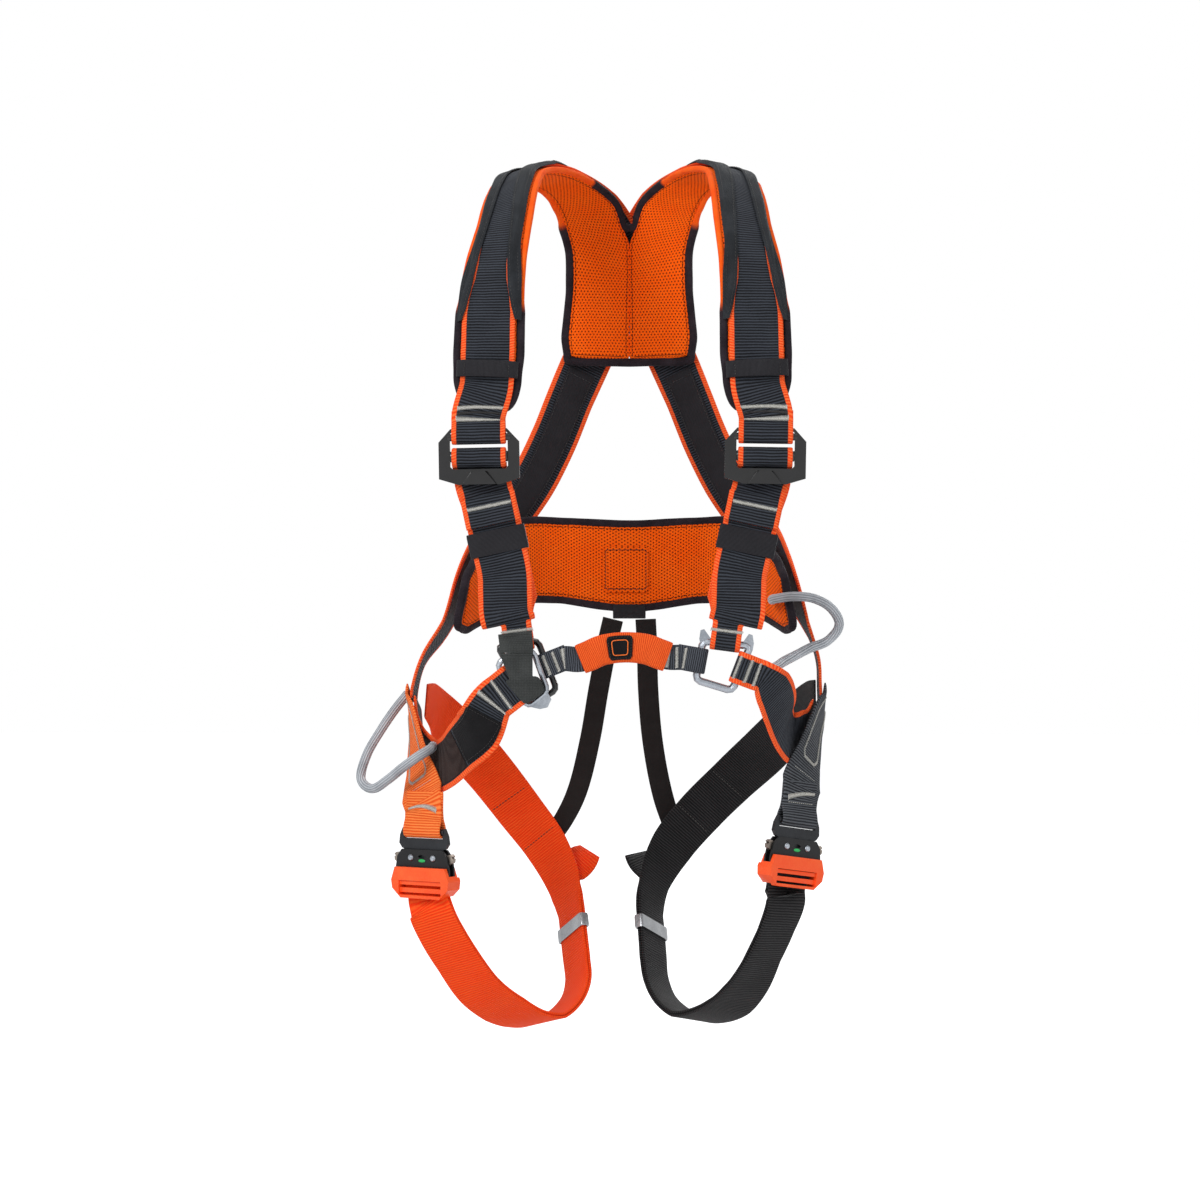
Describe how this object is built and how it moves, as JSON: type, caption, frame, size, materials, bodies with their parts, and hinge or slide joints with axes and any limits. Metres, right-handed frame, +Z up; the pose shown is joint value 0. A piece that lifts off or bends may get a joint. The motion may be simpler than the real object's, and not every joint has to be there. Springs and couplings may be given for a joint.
{
  "type": "full body safety harness",
  "caption": "Full body work harness as worn: padded yoke and lumbar pad, strap adjusters, front links with a bridge, leg loops with lever buckles, dorsal ring and gear loops.",
  "frame": {"origin": "midway between the crests of the two shoulder pads, level with their underside, where the wearer's shoulders or a hanger carry it", "axes": "+X across the wearer towards the right of the front view, +Y to the back of the wearer, +Z up"},
  "size_m": [0.4199, 0.2825, 0.7655],
  "materials": {
    "black_web": "ribbed woven, orange edges",
    "orange_web": "ribbed woven",
    "shoulder_mesh": "spacer mesh",
    "belt_mesh": "open mesh",
    "binding": "woven tape",
    "black_fabric": "smooth woven",
    "elastic": "elastic weave",
    "black_plastic": "matte",
    "silver_metal": "satin",
    "keeper_metal": "satin",
    "lever_metal": "satin",
    "black_metal": "gloss",
    "orange_metal": "gloss",
    "sleeve": "woven",
    "tube": "ribbed"
  },
  "bodies": {
    "harness": {"yoke_pad_left": "shoulder_mesh", "yoke_pad_right": "shoulder_mesh", "yoke_binding_left": "binding", "shoulder_cover_left": "black_fabric", "shoulder_keeper_left": "black_fabric", "yoke_binding_right": "binding", "shoulder_cover_right": "black_fabric", "shoulder_keeper_right": "black_fabric", "shoulder_web_left": "black_web", "shoulder_web_right": "black_web", "back_band_right": "elastic", "back_band_left": "elastic", "dorsal_plate": "black_plastic", "belt_pad": "belt_mesh", "belt_binding": "binding", "belt_patch": "belt_mesh", "belt_tab": "black_fabric", "adjuster_left": "black_metal", "chest_strap_left": "black_web", "chest_tail_left": "black_web", "adjuster_right": "black_metal", "chest_strap_right": "black_web", "chest_tail_right": "black_web", "link_ring_left": "black_metal", "link_hook_left": "silver_metal", "link_ring_right": "silver_metal", "flap_head": "black_fabric", "bridge_web": "black_web", "bridge_sleeve": "sleeve", "bridge_patch": "black_fabric", "waist_strap_left": "black_web", "waist_strap_right": "black_web", "waist_label": "black_fabric", "riser_left": "elastic", "riser_right": "elastic", "leg_web_left": "orange_web", "leg_web_right": "black_web", "leg_stub_left": "orange_web", "leg_stub_right": "black_web", "dlink_left": "black_metal", "buckle_body_left": "black_metal", "buckle_frame_left": "orange_metal", "dlink_right": "black_metal", "buckle_body_right": "black_metal", "buckle_frame_right": "orange_metal", "gear_loop_left": "tube", "gear_loop_right": "tube"},
    "dorsal_ring": {"dorsal_ring": "silver_metal"},
    "adjuster_bar_left": {"adjuster_bar_left": "black_metal"},
    "adjuster_bar_right": {"adjuster_bar_right": "black_metal"},
    "lever_left_outer": {"lever_left_outer": "lever_metal"},
    "lever_left_inner": {"lever_left_inner": "lever_metal"},
    "lever_right_outer": {"lever_right_outer": "lever_metal"},
    "lever_right_inner": {"lever_right_inner": "lever_metal"},
    "link_flap": {"link_flap": "black_fabric"},
    "chest_keeper_left": {"chest_keeper_left": "black_fabric"},
    "chest_keeper_right": {"chest_keeper_right": "black_fabric"},
    "leg_keeper_left": {"leg_keeper_left": "keeper_metal"},
    "leg_keeper_right": {"leg_keeper_right": "keeper_metal"}
  },
  "joints": [
    {"name": "dorsal_ring_swing", "type": "hinge", "parent": "harness", "child": "dorsal_ring", "pos_m": [0, 0.1306, -0.05], "axis": [1, 0, 0], "range_deg": [0, 150]},
    {"name": "adjuster_bar_left_slide", "type": "slide", "parent": "harness", "child": "adjuster_bar_left", "axis": [0.0175, 0, -0.9998], "range_m": [0, 0.0015]},
    {"name": "adjuster_bar_right_slide", "type": "slide", "parent": "harness", "child": "adjuster_bar_right", "axis": [-0.0175, 0, -0.9998], "range_m": [0, 0.0015]},
    {"name": "lever_left_outer_press", "type": "hinge", "parent": "harness", "child": "lever_left_outer", "pos_m": [-0.17806, -0.07946, -0.58021], "axis": [0.5446, 0.8387, 0], "range_deg": [0, 12], "stiffness_Nm_per_rad": 0.4},
    {"name": "lever_left_inner_press", "type": "hinge", "parent": "harness", "child": "lever_left_inner", "pos_m": [-0.15794, -0.09254, -0.57979], "axis": [-0.5446, -0.8387, 0], "range_deg": [0, 12], "stiffness_Nm_per_rad": 0.4},
    {"name": "lever_right_outer_press", "type": "hinge", "parent": "harness", "child": "lever_right_outer", "pos_m": [0.15294, -0.06722, -0.57288], "axis": [0.6561, -0.7547, 0], "range_deg": [0, 12], "stiffness_Nm_per_rad": 0.4},
    {"name": "lever_right_inner_press", "type": "hinge", "parent": "harness", "child": "lever_right_inner", "pos_m": [0.13506, -0.08278, -0.56912], "axis": [-0.6561, 0.7547, 0], "range_deg": [0, 12], "stiffness_Nm_per_rad": 0.4},
    {"name": "link_flap_lift", "type": "hinge", "parent": "harness", "child": "link_flap", "pos_m": [-0.0865, -0.1425, -0.4069], "axis": [-1, 0, 0], "range_deg": [0, 70]},
    {"name": "chest_keeper_left_slide", "type": "slide", "parent": "harness", "child": "chest_keeper_left", "axis": [0.2101, 0, -0.9777], "range_m": [-0.003, 0.016]},
    {"name": "chest_keeper_right_slide", "type": "slide", "parent": "harness", "child": "chest_keeper_right", "axis": [-0.2101, 0, -0.9777], "range_m": [-0.003, 0.016]},
    {"name": "leg_keeper_left_slide", "type": "slide", "parent": "harness", "child": "leg_keeper_left", "axis": [0.1289, -0.464, -0.8764], "range_m": [-0.008, 0.008]},
    {"name": "leg_keeper_right_slide", "type": "slide", "parent": "harness", "child": "leg_keeper_right", "axis": [0.0777, -0.4665, -0.8811], "range_m": [-0.008, 0.008]}
  ]
}
